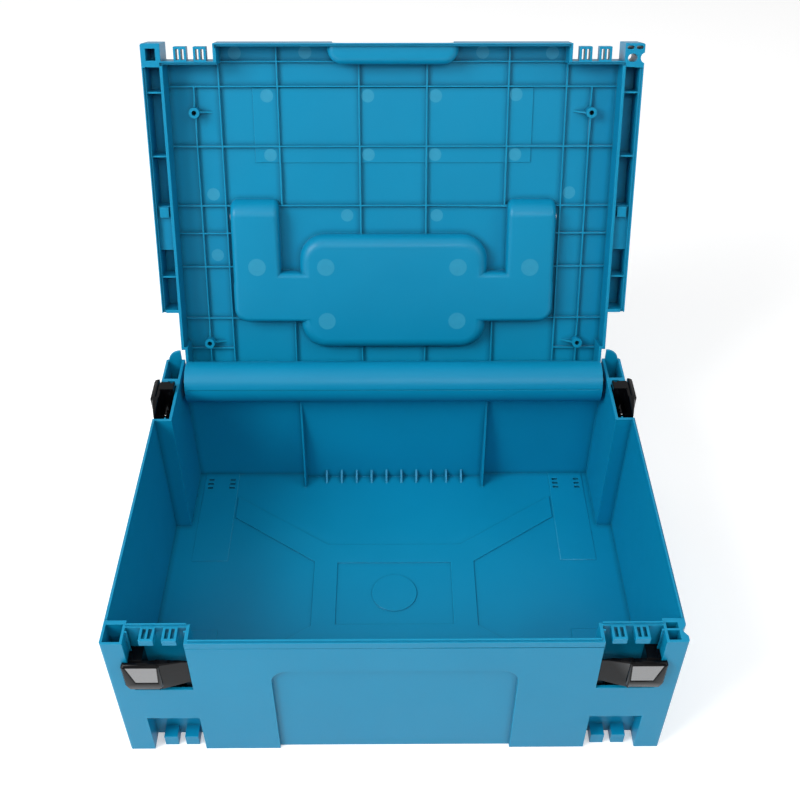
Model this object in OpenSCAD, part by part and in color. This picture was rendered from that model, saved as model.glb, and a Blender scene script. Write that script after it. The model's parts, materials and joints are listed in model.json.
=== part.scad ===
// Hard tool case: a deep lower shell, a lid that stands open on its rear
// hinge, four sliding latches and a folding carry handle. Millimetres.
// Origin: centre of the footprint, on the ground. +X right, +Y rear, +Z up.
// The lid is drawn shut and then turned open about the hinge axis.

/* [Case] */
// Overall width, left to right
case_w = 395; // [380:1:420]
// Overall depth, front to rear
case_d = 295; // [290:1:320]
// Height of the lower shell's rim above the ground
rim_z = 133; // [125:0.5:240]
// Height of the shut lid above the rim
lid_h = 24.5; // [24:0.5:28]
// Wall thickness of both shells
wall = 2.5; // [2:0.1:2.8]
// Thickness of the floor
floor_t = 3; // [2.5:0.1:4]
// Radius of the upright outer corners
corner_r = 2; // [1:0.5:4]
// Angle by which the lid stands open
open_angle = 110.4; // [95:0.1:112]

/* [Latch columns] */
// Width of a latch recess
recess_w = 41; // [40:0.5:44]
// Depth of a latch recess behind the outer face
recess_d = 13.5; // [13:0.5:15]
// Width of the hollow post between a front recess and the side
post_w = 15.5; // [15:0.5:18]
// Depth of that post, front to rear
post_d = 19.5; // [18:0.5:24]
// Distance of the side recesses' rear end ahead of the rear face
side_back = 34.5; // [30:0.5:60]
// Height of the sill below a recess
sill_z = 78.5; // [70:0.5:84]
// Thickness of the shelf that a resting latch stands on
shelf_t = 2.5; // [2:0.1:4]
// Height of a foot block
foot_h = 11; // [6:0.5:14]
// Depth of a foot block, from the cutout's back
foot_d = 10; // [6:0.5:11]

/* [Combs] */
// Width of one comb box
comb_w = 10; // [8:0.5:11]
// Depth of a comb box, from the recess's back
comb_d = 11; // [8:0.5:11]
// Height of the lower shell's comb boxes
comb_h = 5.5; // [3:0.5:8]
// Height of the lid's comb boxes
lid_comb_h = 8; // [4:0.5:12]
// Distance from the recess's corner side to the first comb box
comb_edge = 10.2; // [9:0.1:12]
// Distance from one comb box to the next
comb_pitch = 15.5; // [15:0.1:16.5]
// Width of a slot in a comb box
slot_w = 2.3; // [1.5:0.1:2.5]

/* [Hinge] */
// Hinge axis, ahead of the rear face
hinge_back = 17.5; // [16:0.5:20]
// Hinge axis, below the rim
hinge_drop = 10.5; // [10:0.5:13]
// Wall of the rolled barrel
roll_wall = 2.5; // [2:0.1:3]
// Angle that the barrel covers below and ahead of its axis
roll_sweep = 202; // [185:1:205]
// Gap between a barrel end and the post beside it
roll_end_gap = 3.5; // [1:0.5:5]
// Radius of a hinge pin
hinge_pin_r = 4; // [3:0.5:5]
// Running clearance round a pin
pin_clear = 0.05; // [0.02:0.01:0.1]

/* [Latches] */
// Height of a latch slider, legs and grip together
latch_h = 67.5; // [62:0.5:70]
// Height of a latch's grip
grip_h = 30; // [24:0.5:34]
// Height of a resting grip's lower edge above the sill
grip_rise = 4; // [0.5:0.5:8]
// How far a grip stands proud of the wall
grip_proud = 4.5; // [3.5:0.5:7]
// Overlap of a grip over the wall beside its recess
grip_lap = 4; // [1:0.5:5]
// Width of the grip's raised part
pad_w = 26; // [20:0.5:28]
// Height of the slider's body behind the grip
body_h = 47.5; // [42:0.5:52]
// Height of the bar that joins a slider's legs at the bottom
foot_bar_h = 10; // [6:0.5:12]
// Travel that takes a latch up to the lid's edge
lock_travel = 25; // [23:0.5:28]
// Sliding clearance of a latch
latch_clear = 0.4; // [0.3:0.05:0.5]

/* [Lid] */
// Thickness of the lid panel
lid_top = 2.5; // [2:0.1:3]
// Gap between the shut lid and the rim
rim_gap = 0.3; // [0.2:0.05:0.5]
// Width of the side channels
channel_w = 14; // [12:0.5:15]
// Height of the stiffening ribs
rib_h = 3; // [2:0.5:5]
// Thickness of the stiffening ribs
rib_t = 1.3; // [1:0.1:1.6]
// Width of the finger scoop at the front
scoop_w = 104; // [80:1:120]
// Depth of the finger scoop, front to rear
scoop_d = 16.5; // [12:0.5:18]

/* [Handle] */
// Half width of the handle well
well_x = 137; // [134:1:138]
// Half width of the well's finger room
room_x = 80; // [60:1:84]
// Width of one arm of the well
well_arm_w = 41; // [38:0.5:44]
// Front edge of the well, behind the lid's front face
well_front = 125.5; // [120:0.5:128]
// Rear edge of the well, behind the lid's front face
well_rear = 230.5; // [226:0.5:232]
// How deep the well's shell stands below the lid panel
well_drop = 14; // [13:0.5:16]
// Width of a handle arm
arm_w = 30; // [26:0.5:31]
// Thickness of the handle
handle_t = 11; // [10:0.5:12]
// Width of the handle's bar, front to rear
bar_d = 30; // [26:0.5:31]
// Radius of a handle pin
handle_pin_r = 3; // [2.5:0.5:4]

/* [Hidden] */
$fn = 48;
eps = 0.01;
teal = "#0a87b5";
black = "#111214";

half_w = case_w / 2;
half_d = case_d / 2;
recess_out_x = half_w - post_w;               // corner side of a front recess
recess_in_x = recess_out_x - recess_w;
column_x = recess_in_x - wall;                // inner face of a front column
post_in_x = half_w - recess_d - wall;         // inner face of the side columns
side_end_y = half_d - side_back;              // rear end of a side recess
side_recess_y = side_end_y - recess_w;        // and its front end
latch_rest_z = sill_z + grip_rise - (latch_h - grip_h);
shelf_z = latch_rest_z - latch_clear;         // floor of the latch pocket
foot_cut_h = shelf_z - shelf_t;               // height of a foot cutout
hinge_y = half_d - hinge_back;
hinge_z = rim_z - hinge_drop;
barrel_r = hinge_back;                        // the barrel's back lies in the rear face
back_inset = 13;
back_in_y = half_d - back_inset;              // inner face of the back wall
back_out_y = back_in_y + wall;
stop_gap = 0.3;
// The open lid's rear wall lies on the top edge of the back wall.
back_top_z = hinge_z - (barrel_r + stop_gap - (back_out_y - hinge_y) * cos(open_angle))
    / sin(open_angle);
roll_x = post_in_x - roll_end_gap;            // half length of the barrel
lip_t = 1.2;
lip_h = 1.5;
pattern_h = 1;
pad_h = 0.6;
panel_x = 85.5;
panel_h = 100;
panel_in = 2.7;
panel_r = 12;

// ---- shared outlines and placing -------------------------------------

module round_rect(w, d, r) {
    square([w - 2 * r, d], center = true);
    square([w, d - 2 * r], center = true);
    for (x = [-1, 1], y = [-1, 1])
        translate([x * (w / 2 - r), y * (d / 2 - r)]) circle(r);
}

// Centred rectangle from y0 to y1, as an outline.
module band(half, y0, y1) {
    translate([-half, y0]) square([2 * half, y1 - y0]);
}

// Box between two corners.
module block(low, high) {
    translate(low) cube(high - low);
}

// The same box on the left and on the right.
module pair(low, high) {
    for (side = [0, 1]) mirror([side, 0, 0]) block(low, high);
}

// Slot with round ends, as an outline.
module oval(w, d) {
    square([w - d, d], center = true);
    for (x = [-1, 1]) translate([x * (w - d) / 2, 0]) circle(d / 2);
}

// Extrudes an outline drawn in Y and Z along X, from x0 to x1.
module along_x(x0, x1) {
    translate([x0, 0, 0]) rotate([90, 0, 90]) linear_extrude(x1 - x0) children();
}

// Places a latch column: its X runs from the corner side across the recess,
// its Y from the outer face inwards.
module at_column(front, right) {
    mirror([right ? 1 : 0, 0, 0])
    if (front) translate([-recess_out_x, -half_d, 0]) children();
    else translate([-half_w, side_end_y, 0]) rotate([0, 0, -90]) children();
}

module at_columns() {
    for (front = [true, false], right = [false, true]) at_column(front, right) children();
}

// Turns what is drawn on the shut lid to where it stands open.
module on_open_lid() {
    translate([0, hinge_y, hinge_z]) rotate([-open_angle, 0, 0])
    translate([0, -hinge_y, -hinge_z]) children();
}

// Places a drawing on the shut lid: Y from its front face, Z from the rim.
module lid_frame() {
    translate([0, -half_d, rim_z]) children();
}

// ---- lower shell ------------------------------------------------------

slot_places = [0.3, 0.7];                     // share of a comb box's width
slot_front = 2;
slot_rear = 1;
module comb_boxes(bottom, height) {
    for (i = [0, 1]) translate([comb_edge + i * comb_pitch, recess_d - comb_d, bottom])
    difference() {
        cube([comb_w, comb_d + eps, height]);
        for (x = slot_places)
            translate([x * comb_w - slot_w / 2, slot_front, -1])
            cube([slot_w, comb_d - slot_front - slot_rear, height + 2]);
    }
}

foot_cut_edge = 3;
module column_cuts() {
    block([0, -1, sill_z], [recess_w, recess_d, rim_z + 1]);
    block([0, wall, shelf_z], [recess_w, recess_d, sill_z + 1]);
    block([foot_cut_edge, -1, -1], [recess_w, recess_d, foot_cut_h]);
}

guide_in = 1.5;
guide_t = 1.3;
guide_y = recess_d - 4;

module column_parts(front) {
    if (front) comb_boxes(rim_z - comb_h, comb_h);
    for (i = [0, 1])
        block([comb_edge + i * comb_pitch, recess_d - foot_d, 0],
            [comb_edge + i * comb_pitch + comb_w, recess_d + eps, foot_h]);
    for (x = [-eps, recess_w - guide_in])
        block([x, guide_y, shelf_z], [x + guide_in + eps, guide_y + guide_t, rim_z]);
}

// Plan of the inside: everything here is open from the floor to the rim.
module inside_plan() {
    band(column_x, -half_d + wall, 0);
    band(recess_out_x, -half_d + recess_d + wall, 0);
    band(half_w - wall, -half_d + post_d, side_recess_y - wall);
    band(post_in_x, 0, back_in_y);
}

// Raised frame in the floor: two bands that cross the middle and fork to
// the corners, the same ahead of and behind the pattern's centre.
pattern_y = -5.8;
fork_in = [69, 33.8];                         // where a band's inner edge turns outwards
fork_out = [58, 52.8];                        // and its outer edge
band_end_x = 143;
band_end_y = [85, 110];
pattern_hole = [98, 65];
pattern_disc_r = 19;
module floor_frame_plan() {
    for (back = [0, 1], side = [0, 1]) translate([0, pattern_y]) mirror([0, back]) mirror([side, 0])
        polygon([[0, 0], [fork_in.x, 0], fork_in, [band_end_x, band_end_y[0]],
            [band_end_x, band_end_y[1]], fork_out, [0, fork_out.y]]);
}

pad_in_x = 145;                               // the pads reach from here to the side columns
pad_out_x = 176;
rear_pad_front = 29.5;
front_pad_rear = -43;
module floor_parts() {
    translate([0, 0, floor_t - eps]) {
        linear_extrude(pattern_h + eps) difference() {
            floor_frame_plan();
            translate([0, pattern_y]) square(pattern_hole, center = true);
        }
        translate([0, pattern_y, 0]) cylinder(pattern_h + eps, r = pattern_disc_r, $fn = 96);
        for (side = [0, 1]) mirror([side, 0, 0]) {
            block([pad_in_x, rear_pad_front, 0], [pad_out_x, back_in_y + eps, pad_h + eps]);
            block([pad_in_x, -half_d + recess_d + wall - eps, 0], [pad_out_x, front_pad_rear, pad_h + eps]);
        }
    }
}

// Two ladders of short slots in each rear pad.
floor_slot = [5, 2.5, 2];
floor_slot_x = [148, 168];
floor_slot_pitch = 5;
floor_slot_back = 19.5;                       // first slot, ahead of the back wall
module floor_slots() {
    for (side = [0, 1], x = floor_slot_x, i = [0 : 2]) mirror([side, 0, 0])
        translate([x, back_in_y - floor_slot_back + i * floor_slot_pitch, floor_t + pad_h - floor_slot.z])
        cube(floor_slot + [0, 0, 1]);
}

// Upright stiffening ribs on the back wall, wide at the floor, and short gussets between them.
back_rib_x = 82;
back_rib_d = 14;
back_rib_t = 1.6;
back_rib_drop = 4;
gusset_t = 1.8;
gusset_d = 9;
gusset_h = 9;
gusset_n = 10;
gusset_pitch = 13.93;
module wall_rib(x, thickness, depth, height, top_depth) {
    along_x(x - thickness / 2, x + thickness / 2)
        polygon([[back_in_y + eps, floor_t - eps], [back_in_y - depth, floor_t - eps],
            [back_in_y - top_depth, floor_t + height], [back_in_y + eps, floor_t + height]]);
}

back_step = 3.5;
module back_wall_parts() {
    block([-back_rib_x, back_in_y - back_step, floor_t - eps], [back_rib_x, back_in_y + eps, back_top_z]);
    for (side = [-1, 1])
        wall_rib(side * back_rib_x, back_rib_t, back_rib_d + back_step,
            back_top_z - back_rib_drop - floor_t, back_step);
    for (i = [0 : gusset_n - 1])
        wall_rib((i - (gusset_n - 1) / 2) * gusset_pitch, gusset_t,
            gusset_d + back_step, gusset_h, back_step);
}

// Hollow rear post: a square tube with an upright ear at its back.
ear_t = 2;
ear_x = post_in_x + wall;
ear_r = half_w - ear_x - corner_r - 0.5;
ear_low = 0.5;                                // the ear starts inside the rim
post_wall = 2;
post_front_wall = 9;
module ear() {
    translate([ear_x, half_d - ear_t, rim_z - ear_low]) intersection() {
        cube([ear_r, ear_t, ear_r]);
        rotate([-90, 0, 0]) cylinder(ear_t, r = ear_r, $fn = 64);
    }
}

// A slot ahead of the rear post's hollow takes the side latch's hook.
hook_slot = [6, 3, 12];
module rear_post_hollow() {
    block([ear_x, side_end_y + post_front_wall, floor_t], [half_w - post_wall, half_d - ear_t, rim_z + 1]);
    translate([ear_x + 2, side_end_y + 3, rim_z - hook_slot.z]) cube(hook_slot + [0, 0, 1]);
}

front_post_rear_wall = 3.5;
module front_post_hollow() {
    block([recess_out_x + post_wall, -half_d + post_wall, floor_t],
        [half_w - post_wall, -half_d + post_d - front_post_rear_wall, rim_z + 1]);
}

// Web and side notch of the right front post, where a seal can be tied.
seal_y = 9.5;
seal_web_t = 1.8;
seal_block_w = 5.5;
seal_notch_d = 3;
seal_notch_h = 14;
module seal_web() {
    block([recess_out_x, -half_d + seal_y, floor_t],
        [half_w - post_wall, -half_d + seal_y + seal_web_t, rim_z]);
    block([half_w - seal_block_w, -half_d + post_wall, floor_t],
        [half_w - wall / 2, -half_d + post_d - front_post_rear_wall, rim_z]);
}

module seal_notch() {
    translate([half_w, -half_d + seal_y, rim_z - seal_notch_h]) linear_extrude(seal_notch_h + 1)
        polygon([[1, 6], [-seal_notch_d, 0.5], [-seal_notch_d, -0.5], [1, -6]]);
}

module rim_lip() {
    translate([0, 0, rim_z - eps]) {
        block([-column_x, -half_d + wall - lip_t, 0], [column_x, -half_d + wall, lip_h]);
        pair([half_w - wall, -half_d + post_d, 0], [half_w - wall + lip_t, side_recess_y - wall, lip_h]);
        pair([recess_in_x, -half_d + recess_d + wall - lip_t, 0],
            [recess_out_x, -half_d + recess_d + wall, lip_h]);
    }
}

// Thicker wall behind the front panel.
module panel_backing() {
    block([-panel_x - wall, -half_d + wall - eps, 0],
        [panel_x + wall, -half_d + panel_in + wall, panel_h + wall]);
}

// Shallow panel open at the ground, drawn upright in X and Y.
module relief_plan(width) {
    translate([0, (panel_h - panel_r) / 2]) round_rect(width, panel_h + panel_r, panel_r);
}

// Shallow panels in the outer faces, and a thin line below the rim.
side_panel_w = 110;
side_panel_y = -14;
rim_line_z = rim_z - 6;
rim_line_h = 0.8;
rim_line_in = 0.6;
module outer_relief() {
    translate([0, -half_d + panel_in, 0]) rotate([90, 0, 0]) linear_extrude(panel_in + 1)
        relief_plan(2 * panel_x);
    block([-recess_in_x - eps, -half_d - 1, rim_line_z - rim_line_h / 2],
        [recess_in_x + eps, -half_d + rim_line_in, rim_line_z + rim_line_h / 2]);
    for (side = [0, 1]) mirror([side, 0, 0])
        translate([half_w - panel_in / 2, side_panel_y, 0]) rotate([90, 0, 90]) linear_extrude(panel_in)
        relief_plan(side_panel_w);
}

module hinge_bores() {
    along_x(-half_w + 2 * wall, half_w - 2 * wall)
        translate([hinge_y, hinge_z]) circle(hinge_pin_r + pin_clear);
}

module lower_shell() {
    color(teal) {
        difference() {
            union() {
                difference() {
                    linear_extrude(rim_z) round_rect(case_w, case_d, corner_r);
                    translate([0, 0, floor_t]) linear_extrude(rim_z) inside_plan();
                    at_columns() column_cuts();
                    pair([-eps, back_out_y, -1], [post_in_x, half_d + 1, rim_z + 1]);
                    pair([-eps, back_in_y - eps, back_top_z], [post_in_x, half_d + 1, rim_z + 1]);
                    for (side = [0, 1]) mirror([side, 0, 0]) {
                        rear_post_hollow();
                        front_post_hollow();
                    }
                }
                for (front = [true, false], right = [false, true])
                    at_column(front, right) column_parts(front);
                floor_parts();
                back_wall_parts();
                for (side = [0, 1]) mirror([side, 0, 0]) ear();
                seal_web();
                rim_lip();
                panel_backing();
            }
            outer_relief();
            seal_notch();
            floor_slots();
            hinge_bores();
        }
    }
}

// ---- lid, drawn shut ---------------------------------------------------

rear_x = roll_x + wall;                        // half width of the lid at its rear end
middle_x = half_w - channel_w;                 // half width behind the side channels
channel_end = half_d + side_recess_y - 0.5;
narrow_y = case_d - 42.5;                      // the lid narrows here to pass the rear posts
under = lid_h - lid_top;                       // underside of the lid panel
front_block_d = 18;
rear_wall_in = case_d - wall;

module lid_plan() {
    difference() {
        union() {
            band(half_w - corner_r, 0, channel_end);
            band(half_w, corner_r, channel_end);
            for (side = [-1, 1]) translate([side * (half_w - corner_r), corner_r]) circle(corner_r);
            band(middle_x, 0, narrow_y);
            band(rear_x, 0, case_d);
        }
        for (side = [0, 1]) mirror([side, 0])
            translate([recess_in_x, -1]) square([recess_w, recess_d + 1]);
    }
}

// Plan of the lid's hollow underside.
module lid_hollow_plan() {
    band(column_x, wall, rear_wall_in);
    band(middle_x - wall, recess_d + wall, narrow_y - wall);
    band(roll_x, recess_d + wall, rear_wall_in);
    for (side = [0, 1]) mirror([side, 0])
        translate([middle_x, front_block_d]) square([channel_w - wall, channel_end - wall - front_block_d]);
}

// Front and rear ends of the well's finger room, and the front of its bar.
room_front = well_front + 29.5;
room_rear = well_rear + 24.5;
bar_front = well_rear - 43.5;
mouth_step = 0.5;                              // the finger room opens a little wider at the top
room_r = 22;                                   // corners of the finger room, in plan
bar_r = 12;
room_edge_r = 10;                              // roundness of the room's lower edge
bar_edge_r = 5;
edge_turns = [15 : 15 : 90];

// Block from a bottom height up, with a lower edge rolled round and round corners in plan.
module soft_block(half, y0, y1, bottom, plan_r, edge_r) {
    hull() for (x = [plan_r - half, half - plan_r], y = [y0 + plan_r, y1 - plan_r]) translate([x, y, 0]) {
        translate([0, 0, bottom + edge_r]) cylinder(well_drop - edge_r, r = plan_r, $fn = 48);
        for (turn = edge_turns)
            translate([0, 0, bottom + edge_r * (1 - sin(turn))])
            cylinder(1, r = plan_r - edge_r * (1 - cos(turn)), $fn = 48);
    }
}

arm_round = well_drop;                         // the well rolls round the handle's pivot
pivot_y = well_front + arm_round;
pivot_z = 16.5;
arm_end_r = 6;

arm_step = 0.6;                                // the arms stand a little inside the bar's ends
module well_arm(x0, x1) {
    hull() for (y = [pivot_y, (bar_front + well_rear) / 2], turn = [0 : 15 : 90]) {
        inset = bar_edge_r * (1 - cos(turn));
        along_x(x0 + inset, x1 - inset) translate([y, under])
            circle(arm_round - bar_edge_r * (1 - sin(turn)), $fn = 64);
    }
}

module well_form() {
    for (side = [0, 1]) mirror([side, 0, 0]) well_arm(well_x - well_arm_w, well_x - arm_step);
    soft_block(well_x, bar_front, well_rear, under - well_drop, bar_r, bar_edge_r);
    soft_block(room_x, room_front, room_rear, under - well_drop, room_r, room_edge_r);
}

module well_shell() {
    intersection() {
        well_form();
        block([-half_w, 0, 0], [half_w, case_d, under + eps]);
    }
}

module well_cut() {
    floor_z = under - well_drop + wall;
    for (side = [0, 1]) mirror([side, 0, 0]) {
        x0 = well_x - well_arm_w + wall;
        x1 = well_x - wall;
        along_x(x0, x1) intersection() {
            translate([pivot_y, under]) circle(arm_round - wall, $fn = 64);
            translate([0, floor_z - 1]) square([pivot_y, lid_h]);
        }
        block([x0, well_front + wall, under], [x1, pivot_y, lid_h + 1]);
        block([x0, pivot_y, floor_z], [x1, bar_front + bar_r + wall, lid_h + 1]);
    }
    translate([0, (bar_front + well_rear) / 2, floor_z]) linear_extrude(lid_h)
        round_rect(2 * (well_x - wall), well_rear - bar_front - 2 * wall, bar_r - wall);
    soft_block(room_x - wall, room_front + wall, room_rear - wall, floor_z, room_r - wall,
        room_edge_r - wall);
    mouth = wall - mouth_step;
    translate([0, (room_front + room_rear) / 2, under - 1]) linear_extrude(lid_h)
        round_rect(2 * (room_x - mouth), room_rear - room_front - 2 * mouth, room_r - mouth);
}

// Finger scoop in the front edge; as a shell it bulges into the lid.
scoop_r = 12;
scoop_edge_r = 6;
scoop_low = 4;                                 // its lower side, above the rim
module scoop_form(inset, bottom) {
    hull() for (x = [-1, 1]) translate([x * (scoop_w / 2 - scoop_r), scoop_d - scoop_r, 0]) {
        translate([0, 0, bottom + scoop_edge_r])
            cylinder(lid_h - bottom - scoop_edge_r, r = scoop_r - inset, $fn = 48);
        for (turn = edge_turns)
            translate([0, 0, bottom + scoop_edge_r * (1 - sin(turn))])
            cylinder(1, r = scoop_r - inset - scoop_edge_r * (1 - cos(turn)), $fn = 48);
    }
}

rib_z = under - rib_h;
module lid_rib_x(x, y0, y1) {
    for (side = [-1, 1])
        block([side * x - rib_t / 2, y0, rib_z], [side * x + rib_t / 2, y1, under + eps]);
}

module lid_rib_y(y, x0, x1) {
    if (x0 == 0) block([-x1, y - rib_t / 2, rib_z], [x1, y + rib_t / 2, under + eps]);
    else pair([x0, y - rib_t / 2, rib_z], [x1, y + rib_t / 2, under + eps]);
}

boss_x = 161;
boss_y = [54.5, case_d - 44];
boss_r = 4.2;
boss_h = 9;
boss_bore_r = 2;
boss_wing = 14;
front_rib_y = 15;                              // ribs across, behind the lid's front face
cross_rib_y = [34.3, 82, 131];
side_rib_y = [154.5, 183.5];
corner_rib_y = well_rear - 1;
rear_rib_y = case_d - 38;
rib_x = [27.5, 93.5, 140.5];                   // ribs along, from the middle
rear_rib_x = 86;
module lid_ribs() {
    inner = middle_x - wall + eps;
    rear = rear_wall_in + eps;
    lid_rib_x(rib_x[0], scoop_d - 1, room_front + 2);
    lid_rib_x(rib_x[0], room_rear - 2, rear);
    lid_rib_x(rib_x[1], wall - eps, well_front + 6);
    lid_rib_x(rear_rib_x, well_rear - 2, rear);
    lid_rib_x(rib_x[2], recess_d, rear);
    lid_rib_x(boss_x, cross_rib_y[0], rear);
    lid_rib_y(front_rib_y, scoop_w / 2 - 10, column_x + eps);
    for (i = [0, 1]) lid_rib_y(cross_rib_y[i], 0, inner);
    lid_rib_y(cross_rib_y[2], 0, well_x - well_arm_w + 1);
    for (y = concat([cross_rib_y[2]], side_rib_y)) lid_rib_y(y, well_x - 1, inner);
    lid_rib_y(corner_rib_y, well_x - bar_r, inner);
    lid_rib_y(rear_rib_y, rib_x[2], roll_x + eps);
    for (side = [0, 1], y = boss_y) mirror([side, 0, 0]) {
        translate([boss_x, y, under - boss_h]) cylinder(boss_h + eps, r = boss_r);
        boss_gusset(y);
    }
}

// Thin wing from a boss towards the lid's middle.
module boss_gusset(y) {
    translate([0, y + rib_t / 2, 0]) rotate([90, 0, 0]) linear_extrude(rib_t)
        polygon([[boss_x - boss_wing, under + eps], [boss_x, under - boss_h + 1], [boss_x, under + eps]]);
}

module boss_bores() {
    for (side = [0, 1], y = boss_y) mirror([side, 0, 0])
        translate([boss_x, y, under - boss_h - 1]) cylinder(boss_h + 1.5, r = boss_bore_r);
}

// Ribs and the closed box across each side channel.
channel_ribs = [37.5, 87.5, 188];
channel_box = [128.5, 165.5];
channel_low = 3;
channel_step = 9;
module channel_parts() {
    x0 = middle_x - eps;
    x1 = half_w - wall + eps;
    for (y = channel_ribs) pair([x0, y - rib_t / 2, channel_low], [x1, y + rib_t / 2, under + eps]);
    pair([x0, channel_box[0], channel_low + 3], [x1, channel_box[1], under + eps]);
    pair([x0 + 2, channel_box[0] + 0.5, channel_low], [x1 - 2, channel_box[0] + channel_step, under]);
}

// Lid comb boxes stand in the front cutouts, like those of the lower shell.
module lid_combs() {
    for (side = [0, 1]) mirror([side, 0, 0])
        translate([-recess_out_x, 0, 0]) comb_boxes(rim_gap, lid_comb_h);
}

// Pocket in the left front block; two slots, a hole and a waist in the right lug.
lug_x = (half_w + recess_out_x) / 2;
lug_slot = [5.6, 2.4];
lug_slot_x = 3.6;
lug_slot_y = 3.2;
lug_hole = [7.5, 6];
lug_hole_x = -1.5;
lug_waist_y = 11;
lug_waist_r = 4;
pocket_wall = 4;
module corner_block_cuts() {
    block([-half_w + pocket_wall, pocket_wall, -1],
        [-recess_out_x - pocket_wall, front_block_d - pocket_wall - 1, lid_h - pocket_wall]);
    translate([lug_x, 0, -1]) linear_extrude(lid_h + 2) {
        for (x = [-lug_slot_x, lug_slot_x]) translate([x, lug_slot_y]) oval(lug_slot.x, lug_slot.y);
        translate([lug_hole_x, lug_waist_y]) oval(lug_hole.x, lug_hole.y);
    }
    translate([half_w + 1, lug_waist_y, -1]) cylinder(lid_h + 2, r = lug_waist_r);
}

module lip_rebates() {
    deep = lip_t + rim_gap;
    low = -1;
    high = lip_h + 2 * rim_gap;
    block([-column_x - 1, wall - deep, low], [column_x + 1, wall + 1, high]);
    pair([half_w - wall - 1, post_d - 1, low], [half_w - wall + deep, channel_end + 1, high]);
    pair([recess_in_x - wall - 1, recess_d + wall - deep, low],
        [recess_out_x + 1, recess_d + wall + 1, high]);
}

label_x = 114;
label_y = [35.6, 95.4];
label_in = 0.8;

module lid_shell_shut() {
    difference() {
        union() {
            difference() {
                translate([0, 0, rim_gap]) linear_extrude(lid_h - rim_gap) lid_plan();
                translate([0, 0, -1]) linear_extrude(under + 1) lid_hollow_plan();
            }
            block([-label_x, label_y[0], under - label_in], [label_x, label_y[1], under + eps]);
            well_shell();
            intersection() {
                scoop_form(0, scoop_low);
                block([-half_w, wall, 0], [half_w, case_d, lid_h]);
            }
            lid_ribs();
            channel_parts();
            lid_combs();
            block([-roll_x, rear_wall_in, -hinge_drop], [roll_x, case_d, 1]);
        }
        well_cut();
        scoop_form(wall, scoop_low + wall);
        boss_bores();
        corner_block_cuts();
        lip_rebates();
        block([-label_x, label_y[0], lid_h - label_in], [label_x, label_y[1], lid_h + 1]);
        for (side = [0, 1]) mirror([side, 0, 0]) handle_bore();
    }
}

module handle_bore() {
    along_x(well_x - wall - 1, well_x + 1) translate([pivot_y, pivot_z]) circle(handle_pin_r + pin_clear);
}

module lid_shell() {
    color(teal) on_open_lid() lid_frame() lid_shell_shut();
}

// ---- hinge --------------------------------------------------------------

step_angle = -84.6;                            // a fine groove along the barrel
step_w = 0.8;
step_d = 0.4;
clip_depth = 6;                                // the clip strip starts inside the barrel
module roll_plan() {
    difference() {
        circle(barrel_r, $fn = 128);
        circle(barrel_r - roll_wall, $fn = 128);
        reach = 2 * barrel_r;
        polygon([[0, 0], [reach, 0], [reach, reach], [-reach, reach],
            [-reach, reach * tan(roll_sweep - 180)]]);
        rotate(step_angle) translate([barrel_r - step_d, -step_w / 2]) square([1, step_w]);
    }
}

module roll_end() {
    difference() {
        circle(barrel_r, $fn = 128);
        translate([barrel_r - wall, 0]) square(barrel_r);
        circle(hinge_pin_r + pin_clear);
    }
}

module hinge_roll() {
    color(teal) on_open_lid() {
        along_x(-roll_x, roll_x) translate([hinge_y, hinge_z]) roll_plan();
        for (side = [0, 1]) mirror([side, 0, 0])
            along_x(roll_x - wall, roll_x) translate([hinge_y, hinge_z]) roll_end();
        block([-roll_x, half_d - 2 * wall, hinge_z - clip_depth], [roll_x, half_d - wall, rim_z]);
    }
}

pin_head_r = 6;
pin_head_t = 1.5;
pin_inside = 7;
module hinge_pin(right) {
    color(black) mirror([right ? 1 : 0, 0, 0]) {
        along_x(-ear_x - pin_head_t, -ear_x) translate([hinge_y, hinge_z]) circle(pin_head_r);
        along_x(-ear_x - eps, -roll_x + pin_inside) translate([hinge_y, hinge_z]) circle(hinge_pin_r);
    }
}

module hinge_pin_left() { hinge_pin(false); }
module hinge_pin_right() { hinge_pin(true); }

// ---- latches --------------------------------------------------------------

leg_front = wall + latch_clear + 0.3;           // legs start behind the wall
leg_back = recess_d - latch_clear;
comb_front = recess_d - comb_d;
bridge_in = comb_front - latch_clear;           // the grip stays ahead of the combs
comb_out = comb_edge + comb_pitch + comb_w;     // far side of the second comb box
grip_low = latch_h - grip_h;
grip_face = -latch_clear;
pad_x1 = pad_w - grip_lap;                      // the raised part ends here

// Plan of the slider's legs: beside and between the comb boxes.
module leg_plan() {
    for (span = [[latch_clear, comb_edge - latch_clear],
            [comb_edge + comb_w + latch_clear, comb_edge + comb_pitch - latch_clear],
            [comb_out + latch_clear, recess_w - latch_clear]])
        translate([span[0], leg_front]) square([span[1] - span[0], leg_back - leg_front]);
}

// Blades that run in the slots of the comb boxes.
module blades() {
    for (i = [0, 1], share = slot_places)
        translate([comb_edge + i * comb_pitch + share * comb_w - slot_w / 2 + latch_clear,
            comb_front + slot_front + latch_clear, foot_bar_h - 1])
        cube([slot_w - 2 * latch_clear, comb_d - slot_front - slot_rear - 2 * latch_clear,
            body_h - foot_bar_h]);
}

module guide_grooves() {
    for (x = [-1, recess_w - guide_in - latch_clear])
        translate([x, guide_y - latch_clear, -1])
        cube([guide_in + latch_clear + 1, guide_t + 2 * latch_clear, latch_h + 2]);
}

// Raised part of the grip, drawn in X and Y; the outline grows by inset from its faces.
pad_bevel = 1.2;
pad_foot = 8;                                   // height of the slanted face below it
module pad_plan(proud, inset) {
    polygon([[-grip_lap + inset, grip_face], [-grip_lap + inset, pad_bevel - proud],
        [-grip_lap + inset + pad_bevel, -proud], [pad_x1 - inset - pad_bevel, -proud],
        [pad_x1 - inset, pad_bevel - proud], [pad_x1 - inset, grip_face]]);
}

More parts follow.
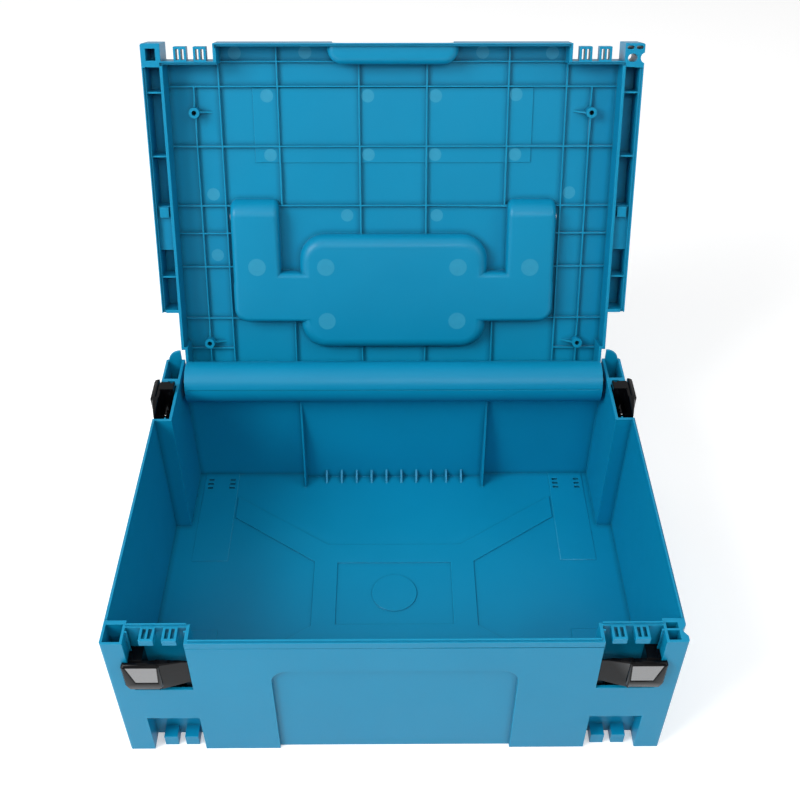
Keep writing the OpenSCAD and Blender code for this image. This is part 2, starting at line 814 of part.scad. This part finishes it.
module pad() {
    hull() {
        translate([0, 0, grip_low]) linear_extrude(1) pad_plan(grip_proud / 3, 1);
        translate([0, 0, grip_low + pad_foot]) linear_extrude(grip_h - pad_foot - pad_bevel)
            pad_plan(grip_proud, 0);
        translate([0, 0, grip_low]) linear_extrude(grip_h) pad_plan(grip_proud - 2 * pad_bevel, 1);
    }
}

// The rest of the grip sinks from the raised part into the recess.
sink_rise = 4;                                  // its lower edge climbs towards the far side
module sink() {
    front = grip_face - grip_proud / 2;
    far = recess_w - latch_clear;
    hull() {
        block([pad_x1 - 3, front, grip_low + 1], [pad_x1 - 2, bridge_in, latch_h]);
        block([pad_x1 - 1, front, grip_low + pad_foot / 2], [pad_x1, bridge_in, latch_h - 1]);
        block([comb_out, bridge_in - 1.8, grip_low + sink_rise], [comb_out + 1, bridge_in, latch_h - 1]);
        block([far - 1, bridge_in - 1, grip_low + sink_rise + 1], [far, bridge_in, latch_h - 2]);
    }
}

// Shallow dish in the raised part's face, wider at its top.
dish_in = 0.5;
dish_rim = 1.2;
dish_low = 10.5;
module dish() {
    translate([0, dish_in - grip_proud, 0]) rotate([90, 0, 0]) linear_extrude(1)
        polygon([[2 * dish_rim - grip_lap, latch_h - dish_rim], [3 * dish_rim, grip_low + dish_low],
            [pad_x1 - 2 * dish_rim, grip_low + dish_low], [pad_x1 - dish_rim, latch_h - dish_rim]]);
}

module latch() {
    tall_leg_x = comb_edge - latch_clear;       // the leg on the corner side is as high as the grip
    difference() {
        union() {
            linear_extrude(body_h) leg_plan();
            blades();
            block([latch_clear, leg_front, 0], [recess_w - latch_clear, leg_back, foot_bar_h]);
            block([latch_clear, bridge_in - 1, grip_low], [tall_leg_x, leg_back, latch_h]);
            block([latch_clear, grip_face - 1, grip_low + 1], [pad_x1 - 1, bridge_in, latch_h - pad_bevel]);
            block([comb_edge + comb_w + latch_clear, bridge_in - 1, grip_low + 1],
                [comb_edge + comb_pitch - latch_clear, leg_front + 1, body_h]);
            pad();
            sink();
        }
        dish();
        guide_grooves();
    }
}

module latch_at(front, right, lift) {
    color(black) at_column(front, right) translate([0, 0, latch_rest_z + lift]) latch();
}

module front_left_latch() { latch_at(true, false, 0); }
module front_right_latch() { latch_at(true, true, 0); }
module side_left_latch() { latch_at(false, false, lock_travel); }
module side_right_latch() { latch_at(false, true, lock_travel); }

// ---- carry handle ----------------------------------------------------------

arm_gap = 1.2;
arm_x = well_x - wall - arm_gap;                // outer side of a handle arm
bar_gap = 7;                                    // finger gap ahead of the handle's bar
bar_y0 = bar_front + bar_gap;
bar_corner_r = 8;
grip_x = room_x - 6;                            // half width of the rounded grip
handle_low = pivot_z - handle_t / 2;
module handle_shut() {
    difference() {
        union() {
            for (side = [0, 1]) mirror([side, 0, 0]) {
                along_x(arm_x - arm_w, arm_x) translate([pivot_y, pivot_z]) circle(arm_end_r);
                block([arm_x - arm_w, pivot_y, handle_low],
                    [arm_x, bar_y0 + bar_corner_r, handle_low + handle_t]);
            }
            translate([0, bar_y0 + bar_d / 2, handle_low]) linear_extrude(handle_t) difference() {
                round_rect(2 * arm_x, bar_d, bar_corner_r);
                square([2 * grip_x, bar_d + 1], center = true);
            }
            along_x(-grip_x - eps, grip_x + eps) translate([bar_y0 + bar_d / 2, pivot_z])
                oval(bar_d, handle_t);
        }
        for (side = [0, 1]) mirror([side, 0, 0])
            along_x(arm_x - arm_w - 1, arm_x + 1) translate([pivot_y, pivot_z])
            circle(handle_pin_r + pin_clear);
    }
}

module carry_handle() {
    color(black) on_open_lid() lid_frame() handle_shut();
}

module handle_pin(right) {
    color("#5c6166") mirror([right ? 1 : 0, 0, 0]) on_open_lid() lid_frame()
        along_x(-well_x, -well_x + wall + arm_w) translate([pivot_y, pivot_z]) circle(handle_pin_r);
}

module handle_pin_left() { handle_pin(false); }
module handle_pin_right() { handle_pin(true); }

lower_shell();
lid_shell();
hinge_roll();
hinge_pin_left();
hinge_pin_right();
front_left_latch();
front_right_latch();
side_left_latch();
side_right_latch();
carry_handle();
handle_pin_left();
handle_pin_right();
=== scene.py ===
# Hard tool case with its lid open. Metres, +Z up, the front towards -Y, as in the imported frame.
import json
import math
import bmesh
import bpy
from mathutils import Matrix, Vector

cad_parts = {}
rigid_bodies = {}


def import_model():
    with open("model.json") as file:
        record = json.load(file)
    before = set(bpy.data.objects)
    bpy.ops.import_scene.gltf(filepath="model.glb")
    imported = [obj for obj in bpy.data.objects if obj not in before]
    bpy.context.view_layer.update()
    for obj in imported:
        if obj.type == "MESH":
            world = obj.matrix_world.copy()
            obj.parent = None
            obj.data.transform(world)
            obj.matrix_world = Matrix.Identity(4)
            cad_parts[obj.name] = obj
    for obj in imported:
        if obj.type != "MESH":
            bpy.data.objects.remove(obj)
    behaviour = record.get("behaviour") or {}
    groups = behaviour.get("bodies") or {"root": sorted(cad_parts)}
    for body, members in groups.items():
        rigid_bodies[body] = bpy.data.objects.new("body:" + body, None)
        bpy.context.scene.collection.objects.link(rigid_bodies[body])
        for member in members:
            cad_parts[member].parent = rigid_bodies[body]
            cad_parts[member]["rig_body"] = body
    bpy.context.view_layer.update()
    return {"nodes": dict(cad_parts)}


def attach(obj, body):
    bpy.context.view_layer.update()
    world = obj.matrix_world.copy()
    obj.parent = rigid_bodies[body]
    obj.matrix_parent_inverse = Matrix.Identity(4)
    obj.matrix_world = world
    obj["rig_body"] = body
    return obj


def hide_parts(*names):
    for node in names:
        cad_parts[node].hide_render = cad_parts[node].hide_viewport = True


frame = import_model()
mm = 0.001
print("frame loaded")


class Wire:                                    # an output socket; arithmetic on it adds Math nodes
    def __init__(self, graph, socket):
        self.graph = graph
        self.socket = socket

    def math(self, operation, *terms):
        return self.graph.add("ShaderNodeMath", {"operation": operation}, dict(enumerate(terms)))

    def __add__(self, other):
        return self.math("ADD", self, other)

    def __sub__(self, other):
        return self.math("SUBTRACT", self, other)

    def __rsub__(self, other):
        return self.math("SUBTRACT", other, self)

    def __mul__(self, other):
        return self.math("MULTIPLY", self, other)

    __radd__ = __add__

    def clamped(self):
        return self.math("MAXIMUM", self.math("MINIMUM", self, 1), 0)


class Graph:                                   # one node tree; settings are set before sockets
    def __init__(self, tree):
        self.tree = tree
        tree.nodes.clear()

    def add(self, kind, settings={}, sockets={}, out=0):
        node = self.tree.nodes.new(kind)
        for name, value in settings.items():
            setattr(node, name, value)
        for name, value in sockets.items():
            if isinstance(value, Wire):
                self.tree.links.new(value.socket, node.inputs[name])
            else:
                node.inputs[name].default_value = value
        return Wire(self, node.outputs[out] if node.outputs else None)


def colour(r, g, b):
    return (r, g, b, 1)


def noise(graph, place, scale, detail=2, roughness=0.5):
    sockets = {"Vector": place, "Scale": scale, "Detail": detail, "Roughness": roughness}
    return graph.add("ShaderNodeTexNoise", {}, sockets)


def mixColour(graph, share, low, high):
    sockets = {0: share, 6: low, 7: high}      # the Mix node's colour sockets
    return graph.add("ShaderNodeMix", {"data_type": "RGBA"}, sockets, out=2)


def newMaterial(name):
    material = bpy.data.materials.new(name)
    material.use_nodes = True
    return material, Graph(material.node_tree)


def finishMaterial(graph, sockets):
    shader = graph.add("ShaderNodeBsdfPrincipled", {}, sockets)
    graph.add("ShaderNodeOutputMaterial", {}, {"Surface": shader})


# Painted shade makes the colour darker in the crevices, and a painted highlight makes it paler along the
# edges; short ambient occlusion finds both.
def paintShadeAndHighlight(graph, tone, look):
    outside = {"only_local": True, "samples": look["samples"]}
    inside = {**outside, "inside": True}
    # near finds the crevices for the painted shade; edge finds the edges for the painted highlight
    near = graph.add("ShaderNodeAmbientOcclusion", outside, {"Distance": look["creviceReach"]}, out=1)
    edge = graph.add("ShaderNodeAmbientOcclusion", inside, {"Distance": look["edgeReach"]}, out=1)
    depth = ((1 - near) * look["creviceShare"]).clamped()
    paintedHighlight = ((1 - edge) * look["edgeShare"]).clamped()
    return mixColour(graph, paintedHighlight, mixColour(graph, depth, tone, look["crevice"]), look["highlightTone"])


# Satin moulded plastic: cloudy flow in its colour, a fine spark-eroded grain and a few dull patches.
def mouldedPlastic(name, look):
    material, graph = newMaterial(name)
    place = graph.add("ShaderNodeTexCoord", {}, {}, "Object")
    cloud = noise(graph, place, look["cloudScale"], detail=3)
    patch = noise(graph, place, look["patchScale"])
    grain = noise(graph, place, look["grainScale"], roughness=0.6)
    tone = mixColour(graph, cloud, look["deep"], look["pale"])
    # Where the look gives a crevice colour, painted shade goes into the crevices and a painted highlight
    # along the edges.
    if "crevice" in look:
        tone = paintShadeAndHighlight(graph, tone, look)
    rough = look["roughness"] + (patch - 0.5) * look["roughSpread"] + (grain - 0.5) * look["grainSpread"]
    bump = graph.add("ShaderNodeBump", {}, {"Height": grain, "Strength": 1, "Distance": look["grainDepth"]})
    sockets = {"Base Color": tone, "Roughness": rough.clamped(), "Normal": bump, "IOR": look["ior"],
               "Coat Weight": look["coat"], "Coat Roughness": look["coatRoughness"]}
    finishMaterial(graph, sockets)
    return material


teal = mouldedPlastic("tealPlastic", {
    "deep": colour(0.0004, 0.222, 0.402), "pale": colour(0.0008, 0.254, 0.450),
    "cloudScale": 14, "patchScale": 30, "grainScale": 2600, "grainDepth": 0.00002,
    "roughness": 0.40, "roughSpread": 0.10, "grainSpread": 0.12,
    "ior": 1.36, "coat": 0, "coatRoughness": 0.1,
    # painted shade in the crevices and painted highlight along the edges
    "crevice": colour(0.0002, 0.060, 0.110), "creviceReach": 0.005, "creviceShare": 0.9,
    "highlightTone": colour(0.012, 0.380, 0.600), "edgeReach": 0.0007, "edgeShare": 0.8, "samples": 8})
pinMark = mouldedPlastic("tealPinMark", {
    "deep": colour(0.012, 0.262, 0.430), "pale": colour(0.018, 0.300, 0.480),
    "cloudScale": 200, "patchScale": 300, "grainScale": 1500, "grainDepth": 0.00004,
    "roughness": 0.52, "roughSpread": 0.12, "grainSpread": 0.20,
    "ior": 1.46, "coat": 0, "coatRoughness": 0.1})
glossBlack = mouldedPlastic("glossBlackPlastic", {
    "deep": colour(0.0015, 0.0016, 0.002), "pale": colour(0.003, 0.003, 0.004),
    "cloudScale": 60, "patchScale": 90, "grainScale": 900, "grainDepth": 0.000004,
    "roughness": 0.16, "roughSpread": 0.06, "grainSpread": 0.04,
    "ior": 1.26, "coat": 0, "coatRoughness": 0.04})
polishedBlack = mouldedPlastic("polishedBlackPlastic", {
    "deep": colour(0.006, 0.006, 0.009), "pale": colour(0.010, 0.010, 0.014),
    "cloudScale": 60, "patchScale": 90, "grainScale": 700, "grainDepth": 0.000002,
    "roughness": 0.06, "roughSpread": 0.03, "grainSpread": 0.02,
    "ior": 2.3, "coat": 1, "coatRoughness": 0.03})
satinBlack = mouldedPlastic("satinBlackPlastic", {
    "deep": colour(0.010, 0.010, 0.011), "pale": colour(0.016, 0.016, 0.018),
    "cloudScale": 40, "patchScale": 60, "grainScale": 2200, "grainDepth": 0.00003,
    "roughness": 0.42, "roughSpread": 0.10, "grainSpread": 0.12,
    "ior": 1.5, "coat": 0, "coatRoughness": 0.1})


# Turned steel: fine lines round the pin and duller spots.
def brushedSteel(name, look):
    material, graph = newMaterial(name)
    place = graph.add("ShaderNodeTexCoord", {}, {}, "Object")
    along = graph.add("ShaderNodeMapping", {}, {"Vector": place, "Scale": look["stretch"]})
    turned = noise(graph, along, look["lineScale"], detail=3)
    spots = noise(graph, place, look["spotScale"])
    tone = mixColour(graph, spots, look["dull"], look["bright"])
    rough = look["roughness"] + (turned - 0.5) * look["lineSpread"]
    bump = graph.add("ShaderNodeBump", {}, {"Height": turned, "Strength": 1, "Distance": look["lineDepth"]})
    finishMaterial(graph, {"Base Color": tone, "Metallic": 1, "Roughness": rough, "Normal": bump})
    return material


steel = brushedSteel("pinSteel", {
    "dull": colour(0.30, 0.31, 0.32), "bright": colour(0.46, 0.47, 0.48), "stretch": (1, 0.05, 0.05),
    "lineScale": 3000, "lineDepth": 0.000005, "lineSpread": 0.2, "spotScale": 120, "roughness": 0.34})
print("materials made")


# A merged copy of a CAD node whose hard edges are rounded off a little, as on a moulding.
# Edges too short to take the rounding stay sharp.
def softened(node, name, look):
    mesh = frame["nodes"][node].data.copy()
    mesh.name = name
    shape = bmesh.new()
    shape.from_mesh(mesh)
    bmesh.ops.remove_doubles(shape, verts=shape.verts, dist=look["merge"])
    weight = shape.edges.layers.float.new("bevel_weight_edge")
    for face in shape.faces:
        face.smooth = True
    for edge in shape.edges:
        hard = edge.calc_face_angle(0) > math.radians(look["sharp"])
        rounded = hard and edge.calc_length() > look["least"]
        edge[weight] = 1 if rounded else 0
        edge.smooth = rounded or not hard
    shape.to_mesh(mesh)
    shape.free()
    mesh.materials.clear()
    mesh.materials.append(look["material"])
    if "custom_normal" in mesh.attributes:
        mesh.attributes.remove(mesh.attributes["custom_normal"])
    piece = bpy.data.objects.new(name, mesh)
    bpy.context.scene.collection.objects.link(piece)
    bevel = piece.modifiers.new("edges", "BEVEL")
    bevel.width = look["edge"]
    bevel.segments = look["steps"]
    bevel.limit_method = "WEIGHT"
    bevel.use_clamp_overlap = False
    bevel.harden_normals = True
    made = evaluatedMesh(piece)
    piece.modifiers.clear()
    piece.data = made
    keepFlats(made, look["leastLean"])
    return settled(piece, node)


# Where two roundings meet in a narrow gap, the face keeps its own direction.
def keepFlats(mesh, leastLean):
    corners = [corner.vector.copy() for corner in mesh.corner_normals]
    for face in mesh.polygons:
        for index in face.loop_indices:
            if not corners[index].dot(face.normal) > leastLean:
                corners[index] = face.normal.copy()
    mesh.normals_split_custom_set(corners)


def evaluatedMesh(piece):
    bpy.context.view_layer.update()
    graph = bpy.context.evaluated_depsgraph_get()
    return bpy.data.meshes.new_from_object(piece.evaluated_get(graph), depsgraph=graph)


def smoothed(mesh, angle):
    for face in mesh.polygons:
        face.use_smooth = True
    mesh.set_sharp_from_angle(angle=math.radians(angle))


def settled(piece, node):
    body = frame["nodes"][node]["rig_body"]
    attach(piece, body)
    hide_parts(node)
    return piece


shellLook = {"merge": 2e-6, "edge": 0.35 * mm, "least": 0.8 * mm, "steps": 2, "sharp": 32, "leastLean": 0.5,
             "material": teal, "slot": "shell"}
softened("lower_shell", "lowerShell", shellLook)
softened("lid_shell", "lidShell", shellLook)
softened("hinge_roll", "hingeRoll", {**shellLook, "sharp": 25})
print("shells made")

# The shallow dish in a grip's face is polished; it lies parallel to the wall, this far outside it.
dishLook = {"frontWall": 147.5, "sideWall": 197.5, "proud": 4.0, "near": 0.1, "facing": 0.99,
            "finish": polishedBlack}


def polishDish(latch, atFront):
    latch.data.materials.append(dishLook["finish"])
    axis = 1 if atFront else 0
    level = (dishLook["frontWall"] if atFront else dishLook["sideWall"]) + dishLook["proud"]
    for face in latch.data.polygons:
        beside = abs(abs(face.center[axis]) / mm - level) < dishLook["near"]
        if beside and abs(face.normal[axis]) > dishLook["facing"]:
            face.material_index = 1


latchLook = {**shellLook, "edge": 0.5 * mm, "least": 0.5 * mm, "steps": 3, "sharp": 25,
             "material": glossBlack, "slot": "latch"}
latchNames = {"front_left": "frontLeft", "front_right": "frontRight", "side_left": "sideLeft",
              "side_right": "sideRight"}
for place, name in latchNames.items():
    latch = softened(place + "_latch", name + "Latch", latchLook)
    polishDish(latch, place.startswith("front"))
handleLook = {**shellLook, "edge": 0.8 * mm, "steps": 3, "material": satinBlack, "slot": "handle"}
softened("carry_handle", "carryHandle", handleLook)
pinLook = {**shellLook, "edge": 0.3 * mm, "material": steel, "slot": "pin"}
capLook = {**shellLook, "edge": 0.3 * mm, "material": satinBlack, "slot": "pin_cap"}
for side in ["left", "right"]:
    softened("handle_pin_" + side, "handlePin" + side.capitalize(), pinLook)
    softened("hinge_pin_" + side, "hingePin" + side.capitalize(), capLook)
print("latches, handle and pins made")


lidHinge = {"axis": Vector((0, 0.13, 0.1225)), "open": math.radians(110.4), "front": -147.5, "rim": 133}


# Where a point of the shut lid lies at rest: x from the middle, u from the lid's front and w from
# the rim, in mm.
def onOpenLid(x, u, w):
    shut = Vector((x, u + lidHinge["front"], w + lidHinge["rim"])) * mm
    return lidHinge["axis"] + Matrix.Rotation(-lidHinge["open"], 3, "X") @ (shut - lidHinge["axis"])


# Geometry nodes that lay a thin disc on each point, as wide as the point says.
def discTree(name):
    tree = bpy.data.node_groups.new(name, "GeometryNodeTree")
    graph = Graph(tree)
    for label, kind in {"Points": "Geometry", "Thickness": "Float", "Sides": "Int", "Tilt": "Float",
                        "Finish": "Material"}.items():
        tree.interface.new_socket(name=label, in_out="INPUT", socket_type="NodeSocket" + kind)
    tree.interface.new_socket(name="Discs", in_out="OUTPUT", socket_type="NodeSocketGeometry")
    given = {socket.name: Wire(graph, socket) for socket in tree.nodes.new("NodeGroupInput").outputs}
    disc = graph.add("GeometryNodeMeshCylinder", {"fill_type": "TRIANGLE_FAN"},
                     {"Vertices": given["Sides"], "Radius": 1, "Depth": given["Thickness"]})
    wide = graph.add("GeometryNodeInputNamedAttribute", {"data_type": "FLOAT"}, {"Name": "wide"})
    size = graph.add("ShaderNodeCombineXYZ", {}, {"X": wide, "Y": wide, "Z": 1})
    lean = graph.add("ShaderNodeCombineXYZ", {}, {"X": given["Tilt"]})
    turn = graph.add("FunctionNodeEulerToRotation", {}, {"Euler": lean})
    discs = graph.add("GeometryNodeInstanceOnPoints", {},
                      {"Points": given["Points"], "Instance": disc, "Rotation": turn, "Scale": size})
    solid = graph.add("GeometryNodeRealizeInstances", {}, {"Geometry": discs})
    coated = graph.add("GeometryNodeSetMaterial", {}, {"Geometry": solid, "Material": given["Finish"]})
    graph.add("NodeGroupOutput", {}, {"Discs": coated})
    return tree


# Round marks that the mould's ejector pins leave on the lid's inner side.
markLook = {
    "panelRadius": 5.2, "panelLevel": 22, "labelRadius": 5.2, "labelLevel": 21.2,
    "wellRadius": 7.4, "wellLevel": 8, "proud": 0.05, "thick": 0.4, "sides": 40, "smooth": 40,
    "panel": [(-39, 139.8), (36.8, 139.9), (-150.8, 121.8), (147.7, 120.7), (-150.5, 173.9), (-70.5, 8),
              (-127, 8.5), (72, 8), (128, 8.5)],
    "label": [(-102.5, 41.8), (-20.5, 41.9), (34.7, 41.9), (100, 40.9), (-101.5, 89.3), (101, 89),
              (-20.5, 89), (34.7, 89)],
    "well": [(-115.7, 181.2), (-57.4, 181.3), (54.8, 181.5), (115.8, 181.6), (-57.4, 229), (54.8, 229)]}
spots = []
wide = []
for kind in ["panel", "label", "well"]:
    middle = markLook[kind + "Level"] - markLook["proud"] + markLook["thick"] / 2
    for x, u in markLook[kind]:
        spots.append(onOpenLid(x, u, middle))
        wide.append(markLook[kind + "Radius"] * mm)
mesh = bpy.data.meshes.new("ejectorMarks")
mesh.from_pydata(spots, [], [])
mesh.attributes.new("wide", "FLOAT", "POINT").data.foreach_set("value", wide)
ejectorMarks = bpy.data.objects.new("ejectorMarks", mesh)
bpy.context.scene.collection.objects.link(ejectorMarks)
tree = discTree("ejectorDiscs")
maker = ejectorMarks.modifiers.new("discs", "NODES")
maker.node_group = tree
values = {"Thickness": markLook["thick"] * mm, "Sides": markLook["sides"], "Tilt": -lidHinge["open"],
          "Finish": pinMark}
for item in tree.interface.items_tree:
    if item.in_out == "INPUT" and item.name in values:
        maker[item.identifier] = values[item.name]
made = evaluatedMesh(ejectorMarks)
ejectorMarks.modifiers.clear()
ejectorMarks.data = made
smoothed(made, markLook["smooth"])
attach(ejectorMarks, "lid")
print("ejector marks made")

# The floor glows a little towards the camera and in reflections, as a lit studio sweep does.
floorLook = {"half": 6, "tone": colour(0.86, 0.86, 0.86), "lift": 0.36}
material, graph = newMaterial("paleFloor")
path = graph.add("ShaderNodeLightPath", {}, {}, "Is Camera Ray")
mirrored = graph.add("ShaderNodeLightPath", {}, {}, "Is Glossy Ray")
paint = graph.add("ShaderNodeBsdfDiffuse", {}, {"Color": floorLook["tone"]})
lift = (path + mirrored) * floorLook["lift"]
glow = graph.add("ShaderNodeEmission", {}, {"Color": colour(1, 1, 1), "Strength": lift})
both = graph.add("ShaderNodeAddShader", {}, {0: paint, 1: glow})
graph.add("ShaderNodeOutputMaterial", {}, {"Surface": both})
half = floorLook["half"]
mesh = bpy.data.meshes.new("floor")
corners = [(-half, -half, 0), (half, -half, 0), (half, half, 0), (-half, half, 0)]
mesh.from_pydata(corners, [], [(0, 1, 2, 3)])
mesh.materials.append(material)
floor = bpy.data.objects.new("floor", mesh)
bpy.context.scene.collection.objects.link(floor)


def softbox(name, look):
    data = bpy.data.lights.new(name, "AREA")
    data.shape = "RECTANGLE"
    data.size, data.size_y = look["size"]
    data.energy = look["power"]
    lamp = bpy.data.objects.new(name, data)
    bpy.context.scene.collection.objects.link(lamp)
    lamp.location = look["place"]
    aim = Vector(look["aim"]) - Vector(look["place"])
    lamp.rotation_euler = aim.to_track_quat("-Z", "Y").to_euler()


softbox("leftSoftbox", {"place": (-1.5, -0.9, 1.5), "aim": (0, 0, 0.15), "size": (1.0, 1.2), "power": 40})
softbox("rightSoftbox", {"place": (1.6, -0.8, 1.5), "aim": (0, 0, 0.15), "size": (0.8, 1.2), "power": 9})
softbox("frontSoftbox", {"place": (0.3, -1.8, 1.9), "aim": (0, 0, 0.15), "size": (0.9, 0.7), "power": 14})
softbox("topSoftbox", {"place": (0, -0.5, 2.2), "aim": (0, 0, 0.1), "size": (1.6, 1.2), "power": 5})

# The room is brighter behind the case than in front of it, and white where the camera sees it.
world = bpy.data.worlds.new("studio")
bpy.context.scene.world = world
world.use_nodes = True
room = {"front": 0.10, "back": 0.70, "white": 1.0}
graph = Graph(world.node_tree)
seen = graph.add("ShaderNodeLightPath", {}, {}, "Is Camera Ray")
facing = graph.add("ShaderNodeTexCoord", {}, {}, "Generated")
depth = graph.add("ShaderNodeSeparateXYZ", {}, {0: facing}, out=1)
level = room["front"] + (depth + 0.5).clamped() * (room["back"] - room["front"])
level = level + seen * (room["white"] - level)
backdrop = graph.add("ShaderNodeBackground", {}, {"Color": colour(1, 1, 1), "Strength": level})
graph.add("ShaderNodeOutputWorld", {}, {"Surface": backdrop})

# The camera fitted to the corners of the case in the photograph.
view = {"place": (-0.00099, -0.56889, 0.73287), "down": 42.035, "turn": -0.529, "roll": 0.195,
        "lens": 48.24, "sensor": 36}
data = bpy.data.cameras.new("photoCamera")
data.lens = view["lens"]
data.sensor_width = view["sensor"]
camera = bpy.data.objects.new("photoCamera", data)
bpy.context.scene.collection.objects.link(camera)
turn = Matrix.Rotation(math.radians(view["turn"]), 4, "Z")
tilt = Matrix.Rotation(math.radians(90 - view["down"]), 4, "X")
roll = Matrix.Rotation(math.radians(view["roll"]), 4, "Z")
camera.matrix_world = Matrix.Translation(view["place"]) @ turn @ tilt @ roll
bpy.context.scene.camera = camera
bpy.context.scene.view_settings.view_transform = "Standard"
print("stage set")
